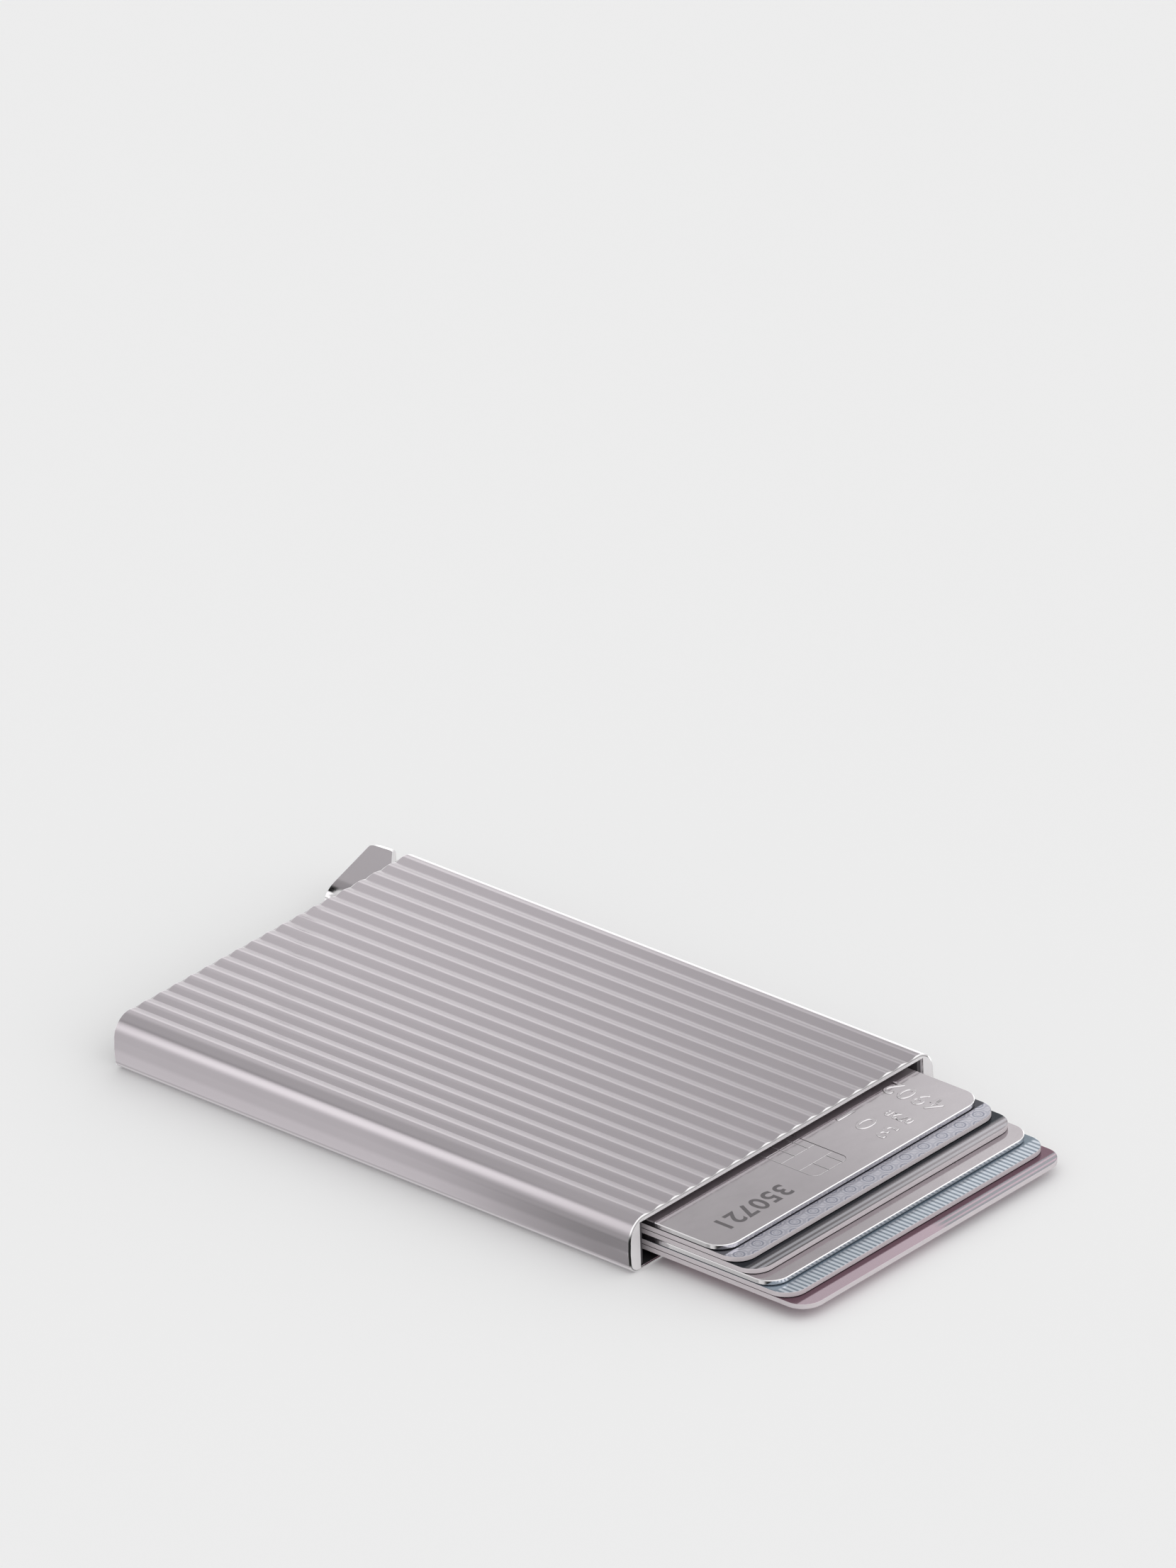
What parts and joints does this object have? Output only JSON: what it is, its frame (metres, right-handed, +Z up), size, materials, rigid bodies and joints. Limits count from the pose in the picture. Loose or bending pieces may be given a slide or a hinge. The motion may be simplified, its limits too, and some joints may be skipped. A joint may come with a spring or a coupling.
{
  "type": "pop up card holder",
  "caption": "Flat ribbed metal card holder. A corner lever swings a stepped arm that fans the cards out of its mouth.",
  "frame": {"origin": "centre of the housing tube's flat underside", "axes": "+X across the holder, towards the corner that carries the lever; +Y along it, from the mouth to the lever's end; +Z up through the ribbed top"},
  "size_m": [0.063, 0.1277, 0.008],
  "materials": {
    "tube_metal": "anodised, pinkish silver, satin",
    "frame_plastic": "moulded, black",
    "pin_steel": "drawn steel",
    "arm_plastic": "moulded, black",
    "fin_metal": "anodised, pinkish silver, polished edges",
    "liner_strip": "thin dark strip",
    "pad_rubber": "soft, black",
    "pad_felt": "short black felt",
    "card_metal": "satin metal",
    "card_grey_blue": "printed, satin",
    "card_slate": "printed, satin",
    "card_silver": "satin metal",
    "card_light_blue": "printed, satin",
    "card_mauve": "printed, satin",
    "chip_metal": "plated contacts"
  },
  "bodies": {
    "housing": {"housing_tube": "tube_metal", "rear_frame": "frame_plastic", "pivot_pin": "pin_steel", "liner_left": "liner_strip", "liner_right": "liner_strip", "friction_pad_left": "pad_rubber", "friction_pad_right": "pad_rubber", "floor_pad": "pad_felt"},
    "lever": {"lever_arm": "arm_plastic", "lever_fin": "fin_metal"},
    "card_1": {"card_1": "card_metal", "chip_contact": "chip_metal"},
    "card_2": {"card_2": "card_grey_blue"},
    "card_3": {"card_3": "card_slate"},
    "card_4": {"card_4": "card_silver"},
    "card_5": {"card_5": "card_light_blue"},
    "card_6": {"card_6": "card_mauve"}
  },
  "joints": [
    {"name": "lever_swing", "type": "hinge", "parent": "housing", "child": "lever", "pos_m": [0.0272, 0.0451, 0.0038], "axis": [0, 0, -1], "range_deg": [0, 40]},
    {"name": "card_1_slide", "type": "slide", "parent": "housing", "child": "card_1", "axis": [0, 1, 0], "range_m": [0, 0.0128]},
    {"name": "card_2_slide", "type": "slide", "parent": "housing", "child": "card_2", "axis": [0, 1, 0], "range_m": [0, 0.0157]},
    {"name": "card_3_slide", "type": "slide", "parent": "housing", "child": "card_3", "axis": [0, 1, 0], "range_m": [0, 0.0186]},
    {"name": "card_4_slide", "type": "slide", "parent": "housing", "child": "card_4", "axis": [0, 1, 0], "range_m": [0, 0.0215]},
    {"name": "card_5_slide", "type": "slide", "parent": "housing", "child": "card_5", "axis": [0, 1, 0], "range_m": [0, 0.0244]},
    {"name": "card_6_slide", "type": "slide", "parent": "housing", "child": "card_6", "axis": [0, 1, 0], "range_m": [0, 0.0273]}
  ],
  "couplings": [
    {"joint": "card_1_slide", "follows": "lever_swing", "m_per_rad": 0.018335},
    {"joint": "card_2_slide", "follows": "lever_swing", "m_per_rad": 0.022489},
    {"joint": "card_3_slide", "follows": "lever_swing", "m_per_rad": 0.026642},
    {"joint": "card_4_slide", "follows": "lever_swing", "m_per_rad": 0.030796},
    {"joint": "card_5_slide", "follows": "lever_swing", "m_per_rad": 0.03495},
    {"joint": "card_6_slide", "follows": "lever_swing", "m_per_rad": 0.039104}
  ]
}
